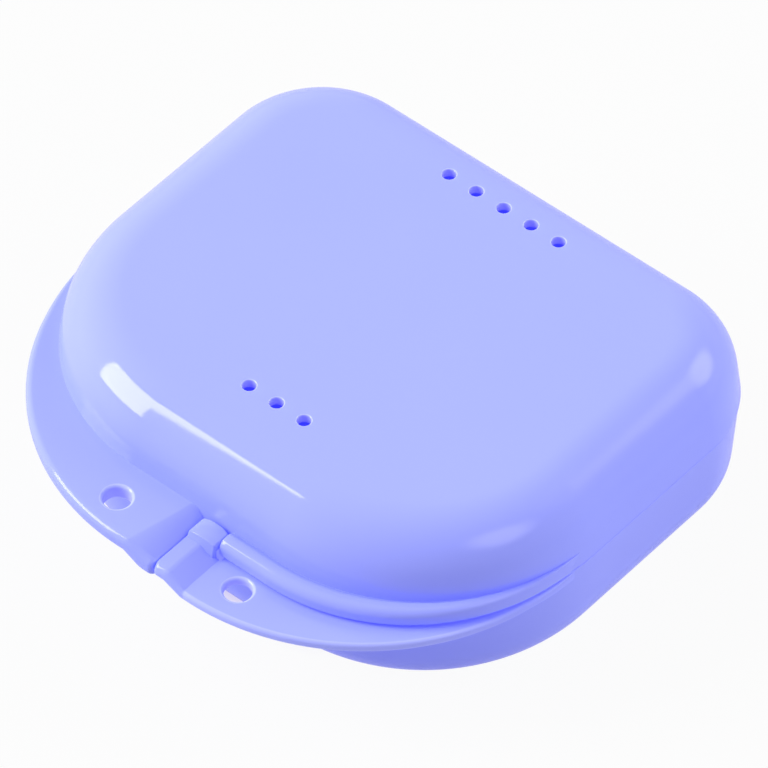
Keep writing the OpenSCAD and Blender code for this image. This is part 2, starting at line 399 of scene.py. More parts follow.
def front_stations(side, start_x, last_angle):
    """Stations from the middle of the front, round the front corner on one side, as far as an angle."""
    stations = []
    for i in range(STRAIGHT_STEPS):
        x = mix(start_x, FRONT_X, i / STRAIGHT_STEPS)
        stations.append(Station(Vector((side * x, FRONT_Y)), Vector((0, -1))))
    for normal in arc(Vector((0, 0)), 1.0, -pi / 2, last_angle, CORNER_STEPS):
        point = Vector((FRONT_X, FRONT_CENTRE_Y)) + FRONT_R * normal
        stations.append(Station(Vector((side * point.x, point.y)), Vector((side * normal.x, normal.y))))
    return stations


def reach(station, centre, radius, most):
    """How far a band of that outline stands out from the case at a station."""
    middle = Vector((centre.x if station.point.x > 0 else -centre.x, centre.y))
    if abs(station.point.x) <= centre.x:
        return most
    out = station.point - middle
    along = out.dot(station.normal)
    return sqrt(max(along * along - out.length_squared + radius * radius, 0.0)) - along


def place(station, points):
    """Puts a section, drawn as distance out and height, at a station."""
    return [Vector((*(station.point + station.normal * p.x), p.y)) for p in points]


def wall_out(half, z):
    """How far out the outer wall lies at a height, from the widest outline of the case."""
    return -half.inset - (half.foot_z - z) * tan(half.draft)


def loft(bm, sections, ring=True):
    """Skins a row of sections: the first is drawn, and each next one is extruded from it and moved."""
    verts = [bm.verts.new(point) for point in sections[0]]
    ends = verts[1:] + verts[:1] if ring else verts[1:]
    edges = [bm.edges.new(pair) for pair in zip(verts, ends)]
    for points in sections[1:]:
        made = bmesh.ops.extrude_edge_only(bm, edges=edges)["geom"]
        fresh = {item for item in made if isinstance(item, bmesh.types.BMVert)}
        verts = [next(e.other_vert(v) for e in v.link_edges if e.other_vert(v) in fresh) for v in verts]
        for vert, point in zip(verts, points):
            vert.co = point
        ends = verts[1:] + verts[:1] if ring else verts[1:]
        edges = [bm.edges.get(pair) for pair in zip(verts, ends)]


def weld(bm):
    """Merges doubled points."""
    bmesh.ops.remove_doubles(bm, verts=bm.verts[:], dist=WELD)


def close_ends(bm):
    """Welds a loft and closes its open ends."""
    weld(bm)
    open_edges = [edge for edge in bm.edges if edge.is_boundary]
    bmesh.ops.holes_fill(bm, edges=open_edges, sides=0)


def fill_level(bm, z):
    """Fills the flat face between the open loops at one height, turned askew for an even fill."""
    edges = [e for e in bm.edges if e.is_boundary and all(abs(v.co.z - z) < LEVEL for v in e.verts)]
    askew = Matrix.Rotation(ASKEW, 3, "Z")
    bmesh.ops.rotate(bm, verts=bm.verts[:], cent=(0, 0, 0), matrix=askew)
    bmesh.ops.triangle_fill(bm, use_beauty=True, edges=edges)
    bmesh.ops.rotate(bm, verts=bm.verts[:], cent=(0, 0, 0), matrix=askew.transposed())


def spin_hole(bm, x, y, radius, low, high, edge, apron=0.0):
    """Wall of a round hole between two flat faces, with rounded rims and, if asked, flat aprons."""
    outer = radius + max(apron, 2 * edge)
    corners = [
        (outer, high, None),
        (radius, high, edge),
        (radius, low, edge),
        (outer, low, None),
    ]
    profile = rounded(corners, closed=False)
    if not apron:
        profile = profile[1:-1]
    # Layers for the painted highlight on rounded rims and the painted glow deep in the hole
    for layer in ("painted_highlight", "painted_hole_glow"):
        if layer not in bm.verts.layers.float:
            bm.verts.layers.float.new(layer)
    known = set(bm.verts)
    verts = [bm.verts.new((x + p.x, y, p.y)) for p in profile]
    edges = [bm.edges.new(pair) for pair in zip(verts, verts[1:])]
    bmesh.ops.spin(
        bm,
        geom=verts + edges,
        cent=(x, y, 0),
        axis=(0, 0, 1),
        angle=2 * pi,
        steps=HOLE_STEPS,
        use_merge=True,
        use_duplicate=False,
    )
    fresh = [vert for vert in bm.verts if vert not in known]
    mark(bm, fresh, low, high, edge)
    return fresh


def mark(bm, verts, low, high, edge):
    """Marks the points of a hole: a painted highlight where its rims are rounded, and a painted glow below
    them.
    """
    painted_highlight = bm.verts.layers.float["painted_highlight"]
    painted_hole_glow = bm.verts.layers.float["painted_hole_glow"]
    for vert in verts:
        depth = min(vert.co.z - low, high - vert.co.z) / edge
        vert[painted_highlight] = 1.0 - depth if SLIVER < depth < 1.0 else 0.0
        vert[painted_hole_glow] = min(max(depth, 0.0), 1.0)


def bevel(bm, edges, size, steps):
    """Rounds some edges of a mesh."""
    bmesh.ops.bevel(bm, geom=edges, offset=size, segments=steps, profile=0.5, affect="EDGES", material=-1)


def turn_over(bm):
    """Turns a mesh half round about the clasp's line along Y, from the base's side to the lid's."""
    centre = Vector((0, 0, FLIP_Z))
    bmesh.ops.rotate(bm, verts=bm.verts[:], cent=centre, matrix=Matrix.Rotation(pi, 3, "Y"))


def finish_piece(bm, name, half, material):
    """Makes a finished piece of a mesh, riding on its half of the case."""
    if half.turned:
        turn_over(bm)
    return finish_fixed(bm, name, half, material)


def finish_fixed(bm, name, half, material):
    """Makes a finished piece of a mesh that already lies in its place."""
    weld(bm)
    bmesh.ops.dissolve_degenerate(bm, edges=bm.edges[:], dist=WELD / 2)
    bmesh.ops.recalc_face_normals(bm, faces=bm.faces[:])
    bmesh.ops.scale(bm, verts=bm.verts[:], vec=(MM, MM, MM))
    for face in bm.faces:
        face.smooth = True
    for edge in bm.edges:
        edge.smooth = edge.calc_face_angle(0.0) < SHARP_ANGLE
    mesh = bpy.data.meshes.new(name)
    bm.to_mesh(mesh)
    bm.free()
    mesh.materials.append(material)
    piece = bpy.data.objects.new(name, mesh)
    bpy.context.scene.collection.objects.link(piece)
    flat = piece.modifiers.new("even_shading", "WEIGHTED_NORMAL")
    flat.keep_sharp = True
    flat.weight = SHADING_WEIGHT
    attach(piece, half.body)
    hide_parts(half.body)
    return piece


def shell_section(half):
    """Section of a half's wall, from the edge of its flat outside to the edge of its flat inside."""
    low = half.foot_z - half.height
    floor = low + WALL
    lean = half.height * tan(half.draft)
    inner_lean = (half.height - WALL) * tan(half.draft)
    outer = [
        (-FLAT_EDGE, low, None),
        (-half.inset - lean, low, half.edge_r),
        (-half.inset, half.foot_z, None),
    ]
    seam = [
        (-half.inset - lean, low, None),
        (-half.inset, half.foot_z, SEAM_EDGE if half.turned else BASE_SEAM_EDGE),
        (-half.inset - WALL, half.foot_z, SEAM_EDGE),
        (-half.inset - WALL - inner_lean, floor, None),
    ]
    inner = [
        (-half.inset - WALL, half.foot_z, None),
        (-half.inset - WALL - inner_lean, floor, half.edge_r - WALL),
        (-FLAT_EDGE, floor, None),
    ]
    round_outside = rounded(outer, EDGE_STEPS, closed=False)[:-1]
    round_seam = rounded(seam, ROUND_STEPS, closed=False)[1:-1]
    round_inside = rounded(inner, EDGE_STEPS, closed=False)[1:]
    start = Vector((-FLAT_EDGE - FLAT_BORDER, low))
    end = Vector((-FLAT_EDGE - FLAT_BORDER, floor))
    return [start] + round_outside + round_seam + round_inside + [end]


def edge_drop(half, setback, inner):
    """How far the rounded edge has fallen away from the flat at a distance in from the wall."""
    radius = half.edge_r - (WALL if inner else 0.0)
    height = half.height - (WALL if inner else 0.0)
    inset = half.inset + (WALL if inner else 0.0)
    middle = inset + (radius + sin(half.draft) * (height - radius)) / cos(half.draft)
    if setback >= middle:
        return 0.0
    return radius - sqrt(radius ** 2 - (middle - setback) ** 2)


def edge_vent(bm, half, x, y):
    """Vent near the back wall, where the flat begins to round over: the shell is made anew round it."""
    low = half.foot_z - half.height
    middle = low + WALL / 2
    reach_x = VENT_PITCH / 2 + LEVEL
    near_y = BACK_Y - FLAT_EDGE - LEVEL
    far_y = y + VENT_PITCH / 2
    doomed = []
    for face in bm.faces:
        spots = [v.co for v in face.verts]
        if all(abs(co.x - x) < reach_x and near_y < co.y < far_y for co in spots):
            doomed.append(face)
    bmesh.ops.delete(bm, geom=doomed, context="FACES")
    fresh = spin_hole(bm, x, y, VENT_R, low, low + WALL, VENT_EDGE, VENT_APRON)
    for vert in fresh:
        inner = vert.co.z > middle
        depth = (vert.co.z - low - VENT_EDGE) / (WALL - 2 * VENT_EDGE)
        share = 1.0 if depth < SLIVER or depth > 1 - SLIVER else 0.0
        vert.co.z += share * edge_drop(half, BACK_Y - vert.co.y, inner)
    weld(bm)
    for above in (False, True):
        edges = []
        for e in bm.edges:
            here = all(abs(v.co.x - x) < reach_x and near_y < v.co.y < far_y for v in e.verts)
            if here and e.is_boundary and (e.verts[0].co.z > middle) == above:
                edges.append(e)
        bmesh.ops.triangle_fill(bm, use_beauty=True, edges=edges)


def shell(half, material):
    """Moulded wall and flat of one half; the lid has its vents."""
    back_row, front_row = vent_rows() if half.turned else ([], [])
    columns = [x + VENT_PITCH / 2 for x, y in reversed(back_row)]
    columns += [x - VENT_PITCH / 2 for x, y in back_row[:1]]
    bm = bmesh.new()
    stations = outline(columns)
    section = shell_section(half)
    loft(bm, [place(station, section) for station in stations + stations[:1]], ring=False)
    weld(bm)
    low = half.foot_z - half.height
    for x, y in back_row:
        edge_vent(bm, half, x, y)
    for x, y in front_row:
        spin_hole(bm, x, y, VENT_R, low, low + WALL, VENT_EDGE)
    weld(bm)
    fill_level(bm, low)
    fill_level(bm, low + WALL)
    return finish_piece(bm, half.body + "_shell", half, material)


def vent_rows():
    """Centres of the vents in the back row and in the front row."""
    rows = [(BACK_VENTS, BACK_Y - BACK_VENT_SETBACK), (FRONT_VENTS, FRONT_Y + FRONT_VENT_SETBACK)]
    return [[((i - (count - 1) / 2) * VENT_PITCH, y) for i in range(count)] for count, y in rows]


def band_corners(half, out, top, inset=0.0):
    """Corners of a rim's section: from inside the wall, over the fillet, round the far edge to the seam."""
    low = LOW_Z + inset
    width = max(out - wall_out(half, low), SLIVER)
    crease_z = low + min(RIM_DIP, DIP_SHARE * width)
    fillet_z = crease_z - FILLET_DROP * FILLET
    fillet = min(FILLET, SHOULDER_SHARE * width)
    shoulder = min(RIM_SHOULDER, SHOULDER_SHARE * width)
    return [
        (wall_out(half, fillet_z) - SUNK, fillet_z, None),
        (wall_out(half, crease_z), crease_z, fillet),
        (wall_out(half, low) + shoulder, low, shoulder),
        (out, low, min(RIM_EDGE, RIM_EDGE_SHARE * width)),
        (out, top - inset, min(SEAM_EDGE, RIM_EDGE_SHARE * width)),
        (-ROOT - half.inset, top - inset, None),
    ]


def rim(half, material):
    """Rim of one half on the side without a lip, from the clasp to where it fades into the side."""
    top = half.foot_z + SLIVER
    sections = []
    for i in range(ROUND_STEPS, 0, -1):
        angle = pi / 2 * i / ROUND_STEPS
        inset = RIM_END_EDGE * (1 - cos(angle)) * END_SHARE
        x = half.rim_x + RIM_END_EDGE * (1 - sin(angle))
        station = Station(Vector((-x, FRONT_Y)), Vector((0, -1)))
        corners = band_corners(half, RIM_REACH - inset, top, inset)
        sections.append(place(station, rounded(corners)))
    for station in front_stations(-1, half.rim_x + RIM_END_EDGE, RIM_LAST_ANGLE):
        out = reach(station, RIM_CENTRE, RIM_R, RIM_REACH)
        if out - wall_out(half, LOW_Z) < FADED_WIDTH:
            break
        sections.append(place(station, rounded(band_corners(half, out, top))))
    bm = bmesh.new()
    loft(bm, sections)
    close_ends(bm)
    return finish_piece(bm, half.body + "_rim", half, material)


def lip_corners(half, out, rim_out, lift=0.0):
    """Corners of a lip's section: fillet by the wall, two rounded edges, step to the rim and seam."""
    low = LOW_Z + lift
    high = low + half.lip_t
    fillet_z = low - FILLET_DROP * FILLET
    wall = wall_out(half, low)
    width = max(out - wall, SLIVER)
    most = LIP_EDGE_SHARE * width
    fillet = min(FILLET, most)
    edge = min(LID_LIP_EDGE if half.turned else LIP_EDGE, most)
    border = min(BORDER, LIP_BORDER_SHARE * width)
    step = min(rim_out - STEP_BACK, out - STEP_SHARE * width)
    top = LOW_Z + half.lip_t if half.turned else half.foot_z + SLIVER
    end_edge = mix(edge, min(STRIP_EDGE, most), lift / BEND_RISE)
    return [
        (wall_out(half, fillet_z) - SUNK, fillet_z, None),
        (wall, low, fillet),
        (wall + fillet + border, low, None),
        (out - end_edge - border, low, None),
        (out, low, end_edge),
        (out, high, min(edge, half.lip_t - end_edge - EDGE_SPARE)),
        (out - edge - border, high, None),
        (step, high, STEP_EDGE),
        (step, top, STEP_EDGE),
        (-ROOT - half.inset, top, None),
    ]


def strip_corners(half, out, lift):
    """Corners of the section of the base lip's free end, point for point like those of the lip."""
    low = LOW_Z + lift
    high = low + half.lip_t
    middle = (low + high) / 2
    edge = mix(LIP_EDGE, STRIP_EDGE, lift / BEND_RISE)
    under = mix(LIP_EDGE, STRIP_UNDER_EDGE, lift / BEND_RISE)
    return [
        (SHEET_IN, middle - SHEET_SPLIT, None),
        (SHEET_IN, low, STRIP_UNDER_EDGE),
        (SHEET_IN + 2 * STRIP_UNDER_EDGE, low, None),
        (out - under - BORDER, low, None),
        (out, low, under),
        (out, high, edge),
        (out - edge - BORDER, high, None),
        (SHEET_IN, high, STRIP_UNDER_EDGE),
        (SHEET_IN, middle + 2 * SHEET_SPLIT, SLIVER),
        (SHEET_IN, middle, None),
    ]


def end_low_z(half, x):
    """Height of a bent end's lower line; the lid's, its shown side, sweeps round to the dividing line."""
    if not half.turned:
        return LOW_Z + BEND_RISE
    crest = FOOT_X - half.lip_t * tan(HALF_BEND)
    run = crest - STRIP_X
    radius = (run ** 2 + BEND_RISE ** 2) / (2 * BEND_RISE)
    return LOW_Z + radius - sqrt(radius ** 2 - max(crest - x, 0.0) ** 2)


def ramp_z(half, x):
    """Height of the lid's bent end at its outer edge, where it slopes straight to the dividing line."""
    crest = FOOT_X - half.lip_t * tan(HALF_BEND)
    return LOW_Z + BEND_RISE * max(crest - x, 0.0) / (crest - STRIP_X)


def bend_lines(half):
    """Lines, in X and Z, that the top and the underside of a lip follow from its flat part to its end."""
    lag = half.lip_t * tan(HALF_BEND)
    low_rise = LOW_Z + BEND_RISE
    last = STRIP_X + STRIP_CORNER
    start = FOOT_X + CLASP_CLEAR
    low = [
        (start, LOW_Z, None),
        (FOOT_X - lag, LOW_Z, BEND_UNDER_FOOT_R),
        (BEND_X - lag, low_rise, BEND_UNDER_CREST_R),
        (last, low_rise, None),
    ]
    top = [
        (start, LOW_Z + half.lip_t, None),
        (FOOT_X, LOW_Z + half.lip_t, BEND_FOOT_R),
        (BEND_X, low_rise + half.lip_t, BEND_CREST_R),
        (last, low_rise + half.lip_t, None),
    ]
    top_line = rounded(top, closed=False)
    if not half.turned:
        return top_line, rounded(low, closed=False)
    steps = len(top_line) - 1
    sweep = [mix(start, last, i / steps) for i in range(steps + 1)]
    return top_line, [Vector((x, end_low_z(half, x))) for x in sweep]


def bend_ring(half, top, low, inset=0.0, end_inset=0.0):
    """One ring of a lip's bent end, between a point of its top line and one of its lower line."""
    lift = low.y - LOW_Z
    if half.turned:
        corners = lip_corners(half, LIP_REACH - inset, CLASP_CLEAR, lift)
    else:
        corners = strip_corners(half, LIP_REACH - inset, lift)
    ring = []
    for point in rounded(corners):
        share = min(max((point.y - low.y) / half.lip_t, 0.0), 1.0)
        x = mix(low.x, top.x, share)
        low_z = low.y
        if half.turned:
            along = min(max(point.x / LIP_REACH, 0.0), 1.0)
            x = STRIP_X + (x - STRIP_X) * mix(LID_BEND_TAPER, 1.0, along)
            low_z = mix(low.y, ramp_z(half, low.x), along)
        z = mix(low_z, top.y, share) if point.y >= low.y else point.y
        z = min(max(z, low_z + end_inset), top.y - end_inset) if end_inset else z
        ring.append(Vector((x, FRONT_Y - point.x, z)))
    return ring


def strip_end(half):
    """Rings of the rounded end of a lip, whose outer corner is rounder than its edges."""
    top_z = LOW_Z + BEND_RISE + half.lip_t
    rings = []
    for i in range(2 * ROUND_STEPS, 0, -1):
        angle = pi / 2 * i / (2 * ROUND_STEPS)
        along = STRIP_CORNER * (1 - sin(angle))
        inset = STRIP_CORNER * (1 - cos(angle)) * END_SHARE
        rest = max(STRIP_END_EDGE - along, 0.0)
        end_inset = STRIP_END_EDGE - sqrt(STRIP_END_EDGE ** 2 - (END_SHARE * rest) ** 2)
        x = STRIP_X + along
        low = Vector((x, end_low_z(half, x)))
        rings.append(bend_ring(half, Vector((x, top_z)), low, inset, end_inset))
    return rings


def lip(half, hole, material):
    """Opening lip of one half with the bent end that meets the other lip, and its cord hole."""
    sections = strip_end(half)
    top, low = bend_lines(half)
    sections += [bend_ring(half, a, b) for a, b in zip(reversed(top), reversed(low))]
    for station in front_stations(1, FOOT_X + CLASP_CLEAR, LIP_LAST_ANGLE):
        out = reach(station, LIP_CENTRE, LIP_R, LIP_REACH)
        rim_out = CLASP_CLEAR if half.turned else reach(station, RIM_CENTRE, RIM_R, RIM_REACH)
        if out - wall_out(half, LOW_Z) < FADED_WIDTH:
            break
        sections.append(place(station, rounded(lip_corners(half, out, rim_out))))
    bm = bmesh.new()
    loft(bm, sections)
    close_ends(bm)
    if not half.turned:
        paint_lip_highlight(bm, LOW_Z, LOW_Z + half.lip_t)
    pierce(bm, hole, LOW_Z, LOW_Z + half.lip_t)
    return finish_piece(bm, half.body + "_lip", half, material)


def paint_lip_highlight(bm, low, high):
    """Marks the outer edge of the thin lip for a painted highlight, which fades out along the lip."""
    painted_highlight = bm.verts.layers.float.new("painted_highlight")
    fade_start, fade_end = LIP_HIGHLIGHT_FADE_X
    for vert in bm.verts:
        depth = min(vert.co.z - low, high - vert.co.z)
        fade = (fade_end - vert.co.x) / (fade_end - fade_start)
        if depth > LEVEL and vert.co.x > FOOT_X + CLASP_CLEAR - SLIVER:
            vert[painted_highlight] = LIP_PAINTED_HIGHLIGHT * min(max(fade, 0.0), 1.0)


def pierce(bm, hole, low, high):
    """Opens a round hole with rounded rims through a flat plate."""
    clear = CORD_HOLE_R + HOLE_EDGE + CORD_HOLE_APRON
    doomed = []
    for face in bm.faces:
        across = [vert.co.x for vert in face.verts]
        along = [vert.co.y for vert in face.verts]
        level = any(all(abs(vert.co.z - z) < LEVEL for vert in face.verts) for z in (low, high))
        near = min(across) < hole.x + clear and max(across) > hole.x - clear
        wide = max(along) - min(along) > WIDE_FACE
        if level and near and wide:
            doomed.append(face)
    bmesh.ops.delete(bm, geom=doomed, context="FACES")
    spin_hole(bm, hole.x, hole.y, CORD_HOLE_R, low, high, HOLE_EDGE)
    weld(bm)
    fill_level(bm, low)
    fill_level(bm, high)


def hook(material):
    """Rounded block that stands on the end of the base's lip and reaches in over the lid's ledge."""
    foot_y = FRONT_Y - SHEET_IN - HOOK_FOOT
    back_y = FRONT_Y - SHEET_IN
    nose_y = FRONT_Y - LEDGE_REACH + HOOK_CATCH
    lag = BASE_LIP_T * tan(HALF_BEND) / 2
    kink_x = BEND_X - lag
    far_x = STRIP_X + HOOK_W + HOOK_SPREAD
    turns = [pi / 2 * i / ROUND_STEPS for i in range(ROUND_STEPS, -1, -1)]
    ends = [(HOOK_EDGE * (1 - sin(a)), HOOK_EDGE * (1 - cos(a)) * END_SHARE) for a in turns]
    rows = [(STRIP_X + along, inset) for along, inset in ends]
    rows += [(x, 0.0) for x in sorted([kink_x, *HOOK_ROWS_X])]
    rows += [(far_x - along, inset) for along, inset in reversed(ends)]
    sections = []
    for x, inset in rows:
        drop = min(max(x - kink_x, 0.0), BEND_W) * BEND_RISE / BEND_W
        foot_z = LOW_Z + BASE_LIP_T / 2 + BEND_RISE - drop
        middle = 1 - abs(2 * (x - STRIP_X) / HOOK_W - 1) ** 3
        top_z = HOOK_TOP_Z + mix(*HOOK_CROWN, middle) - inset
        tip_y = nose_y + mix(*HOOK_BOW, middle) - inset
        corners = [
            (foot_y + HOOK_SLANT[0] + inset, foot_z, None),
            (foot_y + HOOK_SLANT[0] + inset, foot_z + BASE_LIP_T / 2, HOOK_FOOT_EDGE),
            (foot_y + HOOK_SLANT[1] + inset, top_z, HOOK_FRONT_R),
            (tip_y, top_z, HOOK_EDGE),
            (tip_y, NOSE_Z, HOOK_NOSE_EDGE),
            (back_y, NOSE_Z, HOOK_BACK_EDGE),
            (back_y, min(foot_z, NOSE_Z - HOOK_BACK_EDGE), None),
        ]
        sections.append([Vector((x, p.x, p.y)) for p in rounded(corners)])
    bm = bmesh.new()
    loft(bm, sections)
    close_ends(bm)
    return finish_fixed(bm, "base_hook", BASE, material)


def ledge(material):
    """Ledge across the lid's notch, which the base's hook catches."""
    low_z = SEAM_Z + SEAM_GAP
    high_z = NOSE_Z - CATCH_CLEAR
    out_y = FRONT_Y - LEDGE_REACH
    size = Vector((BEND_X + LEDGE_END_X, LEDGE_REACH + ROOT, high_z - low_z))
    corner = Vector((-BEND_X, out_y, low_z + SLIVER))
    bm = bmesh.new()
    bmesh.ops.create_cube(bm, size=1.0)
    bmesh.ops.scale(bm, verts=bm.verts[:], vec=size)
    bmesh.ops.translate(bm, verts=bm.verts[:], vec=corner + size / 2)
    front = [e for e in bm.edges if all(v.co.y < out_y + SLIVER for v in e.verts)]
    bevel(bm, front, LEDGE_EDGE, BEVEL_STEPS)
    return finish_fixed(bm, "lid_ledge", LID, material)


def knuckle_outline(stand_back, up):
    """Outline, in Y and Z from the hinge axis, of a knuckle and the web that carries it."""
    wall_y = BACK_Y - HINGE_Y - stand_back - ROOT
    low = SEAM_GAP / 2
    tip = Vector((wall_y, WEB_H))
    touch = atan2(WEB_H, wall_y) - (pi / 2 - atan2(KNUCKLE_R, sqrt(tip.length_squared - KNUCKLE_R ** 2)))
    start = atan2(low, sqrt(KNUCKLE_R ** 2 - low ** 2))
    round_part = arc(Vector((0, 0)), KNUCKLE_R, touch, start - pi, HOLE_STEPS)
    points = round_part + [Vector((wall_y, low)), tip]
    return [Vector((p.x, p.y if up else -p.y)) for p in points]


def knuckle(name, half, middle_x, width, stand_back, up, bore, material):
    """Hinge knuckle with its web, bored if it carries a peg."""
    bm = bmesh.new()
    loops = [knuckle_outline(stand_back, up)]
    if bore:
        loops.append(arc(Vector((0, 0)), bore, 0.0, 2 * pi * (1 - 1 / HOLE_STEPS), HOLE_STEPS - 1))
    edges = []
    for loop in loops:
        verts = [bm.verts.new((middle_x - width / 2, HINGE_Y + p.x, HINGE_Z + p.y)) for p in loop]
        edges += [bm.edges.new(pair) for pair in zip(verts, verts[1:] + verts[:1])]
    faces = bmesh.ops.triangle_fill(bm, use_beauty=True, edges=edges)["geom"]
    faces = [item for item in faces if isinstance(item, bmesh.types.BMFace)]
    made = bmesh.ops.extrude_face_region(bm, geom=faces)["geom"]
    moved = [item for item in made if isinstance(item, bmesh.types.BMVert)]
    bmesh.ops.translate(bm, verts=moved, vec=(width, 0, 0))
    bmesh.ops.recalc_face_normals(bm, faces=bm.faces[:])
    sharp = [e for e in bm.edges if e.calc_face_angle(0.0) > BEVEL_ANGLE]
    ends = [e for e in sharp if abs(e.verts[0].co.x - e.verts[1].co.x) < SLIVER]
    bevel(bm, ends, KNUCKLE_EDGE, KNUCKLE_STEPS)
    return finish_fixed(bm, name, half, material)


def peg(name, middle_x, length, material):
    """Hinge peg that stands out of both sides of a lid knuckle."""
    bm = bmesh.new()
    lie = Matrix.Translation((middle_x, HINGE_Y, HINGE_Z)) @ Matrix.Rotation(pi / 2, 4, "Y")
    bmesh.ops.create_cone(
        bm,
        cap_ends=True,
        segments=HOLE_STEPS,
        radius1=PEG_R,
        radius2=PEG_R,
        depth=length,
        matrix=lie,
    )
    rims = [e for e in bm.edges if e.calc_face_angle(0.0) > BEVEL_ANGLE]
    bevel(bm, rims, PEG_EDGE, BEVEL_STEPS)
    return finish_fixed(bm, name, LID, material)


def hinges(material):
    """Two hinges at the back: a knuckle with pegs on the lid, between two ears on the base."""
    for side, word in ((-1, "left"), (1, "right")):
        middle = side * HINGE_X
        knuckle("lid_knuckle_" + word, LID, middle, KNUCKLE_W, 0.0, True, None, material)
        peg("lid_peg_" + word, middle, KNUCKLE_W + 2 * (EAR_GAP + EAR_W), material)
        for end, part in ((-1, "a"), (1, "b")):
            ear_x = middle + end * (KNUCKLE_W + EAR_W + 2 * EAR_GAP) / 2
            name = "base_ear_" + word + "_" + part
            knuckle(name, BASE, ear_x, EAR_W, BASE.inset, False, PEG_R + PEG_CLEAR, material)


def shader_nodes(material):
    """Nodes, links and shader of a new material."""
    material.use_nodes = True
    nodes = material.node_tree.nodes
    return nodes, material.node_tree.links, nodes["Principled BSDF"]


def spread(nodes, links, source, low, high):
    """Node that spreads a value from 0 to 1 over another range."""
    node = nodes.new("ShaderNodeMapRange")
    node.inputs["To Min"].default_value = low
    node.inputs["To Max"].default_value = high
    links.new(source, node.inputs["Value"])
    return node.outputs["Result"]


def attribute(nodes, name):
    """Value that the points of a piece were marked with."""
    node = nodes.new("ShaderNodeAttribute")
    node.attribute_name = name
    return node.outputs["Fac"]


def blend(nodes, links, share, first, second):
    """Colour that lies between two others, of which the first may come from another node."""
    node = nodes.new("ShaderNodeMix")
    node.data_type = "RGBA"
    links.new(share, node.inputs[0])
    if isinstance(first, tuple):
        node.inputs[6].default_value = first
    else:
        links.new(first, node.inputs[6])
    node.inputs[7].default_value = second
    return node.outputs[2]


def noise(nodes, links, coords, size, detail):
    """Cloudy value over the surface, with clouds about as large as a size in millimetres."""
    node = nodes.new("ShaderNodeTexNoise")
    node.inputs["Scale"].default_value = 1 / (size * MM)
    node.inputs["Detail"].default_value = detail
    links.new(coords.outputs["Object"], node.inputs["Vector"])
    return node.outputs["Fac"]


def gloss_plastic():
    """Glossy periwinkle moulding: faint flow marks, a slight ripple of the skin, a painted glow for light
    inside the wall and painted highlights on rounded rims and edges.
    """
    material = bpy.data.materials.new("periwinkle_gloss")
    nodes, links, shader = shader_nodes(material)
    coords = nodes.new("ShaderNodeTexCoord")
    flow = noise(nodes, links, coords, *FLOW_MARKS)
    tone = blend(nodes, links, flow, PLASTIC_DEEP, PLASTIC_PALE)
    # Painted highlight: rounded rims of holes and the thin lip's outer edge are paler
    highlighted = blend(nodes, links, attribute(nodes, "painted_highlight"), tone, EDGE_PAINTED_HIGHLIGHT)
    links.new(highlighted, shader.inputs["Base Color"])
    gloss = spread(nodes, links, noise(nodes, links, coords, *GLOSS_CLOUDS), *GLOSS_RANGE)
    links.new(gloss, shader.inputs["Roughness"])
    skin = nodes.new("ShaderNodeBump")
    skin.inputs["Strength"].default_value = SKIN_STRENGTH
    skin.inputs["Distance"].default_value = SKIN_HEIGHT * MM
    links.new(noise(nodes, links, coords, *SKIN_RIPPLE), skin.inputs["Height"])
    links.new(skin.outputs["Normal"], shader.inputs["Normal"])
    shader.inputs["IOR"].default_value = PLASTIC_IOR
    # Painted glow: emission that lifts the blue in the shade, stronger deep in the walls of holes
    painted_glow = blend(nodes, links, attribute(nodes, "painted_hole_glow"), PLASTIC_PAINTED_GLOW, HOLE_PAINTED_GLOW)
    links.new(painted_glow, shader.inputs["Emission Color"])
    shader.inputs["Emission Strength"].default_value = 1.0
    return material


def seen_white(nodes, links, gloss_share):
    """Share that is 1 for what the camera sees directly, and less in a gloss or through clear things."""
    path = nodes.new("ShaderNodeLightPath")
    total = path.outputs["Is Camera Ray"]
    for kind in ("Is Glossy Ray", "Is Transmission Ray"):
        add = nodes.new("ShaderNodeMath")
        add.operation = "MULTIPLY_ADD"
        add.use_clamp = True
        add.inputs[1].default_value = gloss_share
        links.new(path.outputs[kind], add.inputs[0])
        links.new(total, add.inputs[2])
        total = add.outputs[0]
    return total


def painted_lip_shade(nodes, links):
    """White of the floor with a painted shade: a tint along the front of the base, where the lips cast a
    coloured shade.
    """
    coords = nodes.new("ShaderNodeTexCoord")
    spot = nodes.new("ShaderNodeMapping")
    spot.vector_type = "TEXTURE"
    spot.inputs["Location"].default_value = Vector(PAINTED_SHADE_PLACE) * MM
    spot.inputs["Scale"].default_value = Vector(PAINTED_SHADE_SIZE) * MM
    links.new(coords.outputs["Object"], spot.inputs["Vector"])
    away = nodes.new("ShaderNodeVectorMath")
    away.operation = "LENGTH"
    links.new(spot.outputs["Vector"], away.inputs[0])
    fade = nodes.new("ShaderNodeMapRange")
    fade.interpolation_type = "SMOOTHSTEP"
    links.new(away.outputs["Value"], fade.inputs["Value"])
    return blend(nodes, links, fade.outputs["Result"], PAINTED_SHADE_TINT, WHITE)


